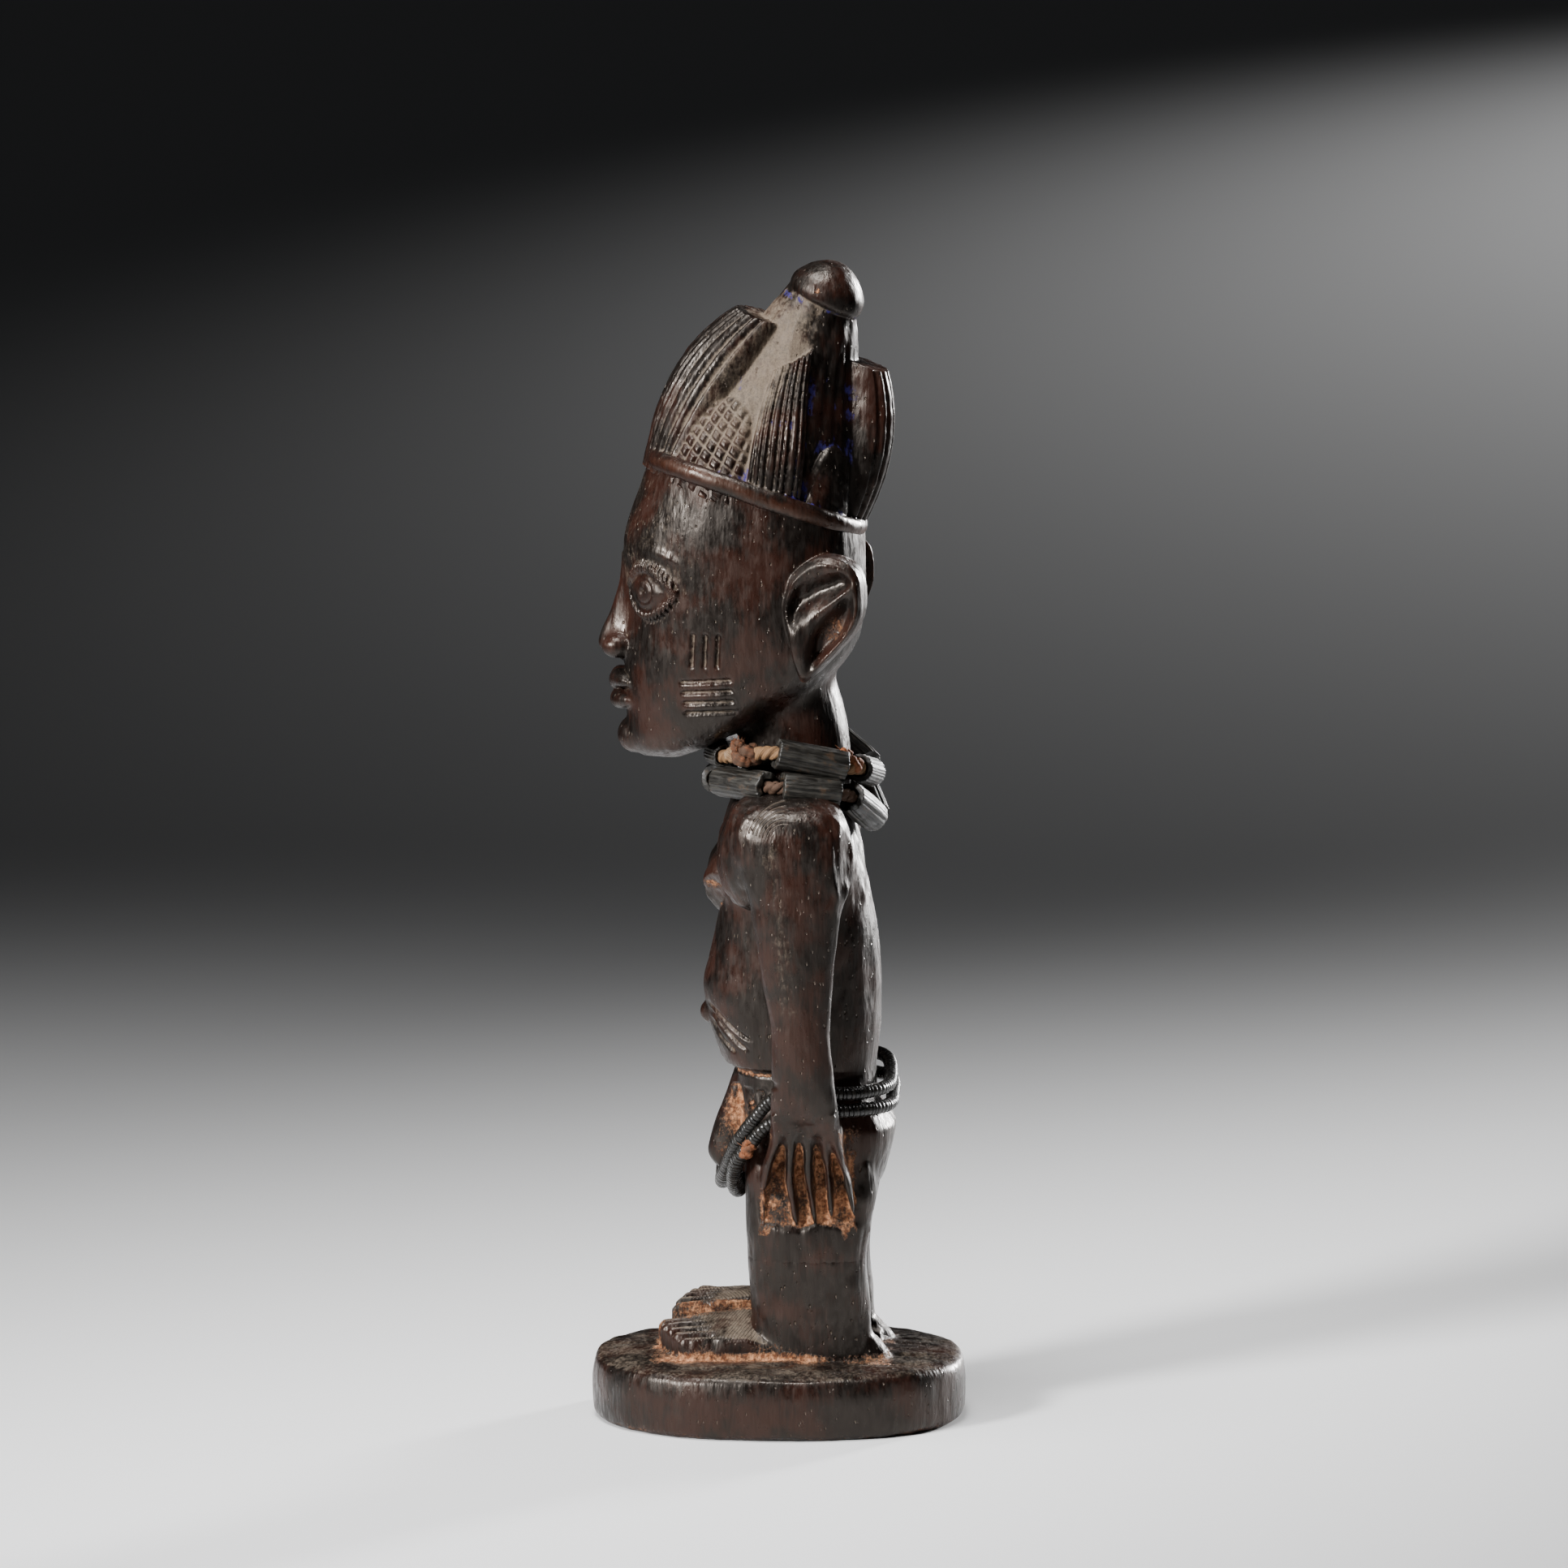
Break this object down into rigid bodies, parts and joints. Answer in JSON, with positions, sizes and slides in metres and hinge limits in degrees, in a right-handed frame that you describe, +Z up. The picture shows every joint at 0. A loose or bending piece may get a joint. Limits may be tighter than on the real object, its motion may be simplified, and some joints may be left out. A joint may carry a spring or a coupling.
{
  "type": "ibeji figure",
  "caption": "Carved wooden twin figure standing on an oval plinth, with a tall ribbed hairstyle, a beaded necklace and strings of disc beads round the hips.",
  "frame": {"origin": "centre of the plinth's flat underside", "axes": "+Z up, -Y the way the figure faces, +X its left side"},
  "size_m": [0.0684, 0.088, 0.2749],
  "materials": {
    "wood": "dark, handled patina with reddish wear, camwood powder and blue pigment in the recesses",
    "bead": "opaque, weathered grey, striated along its length",
    "fibre": "twisted plant fibre",
    "shell": "black, polished nut shell discs"
  },
  "bodies": {
    "root": {"figure": "wood", "neck_bead_upper_1": "bead", "neck_bead_upper_2": "bead", "neck_bead_upper_3": "bead", "neck_bead_upper_4": "bead", "neck_bead_upper_5": "bead", "neck_bead_upper_6": "bead", "neck_bead_lower_1": "bead", "neck_bead_lower_2": "bead", "neck_bead_lower_3": "bead", "neck_bead_lower_4": "bead", "neck_bead_lower_5": "bead", "neck_bead_lower_6": "bead", "neck_bead_lower_7": "bead", "necklace_cord_upper": "fibre", "necklace_cord_lower": "fibre", "waist_strand_upper": "shell", "waist_strand_lower": "shell"}
  },
  "joints": []
}
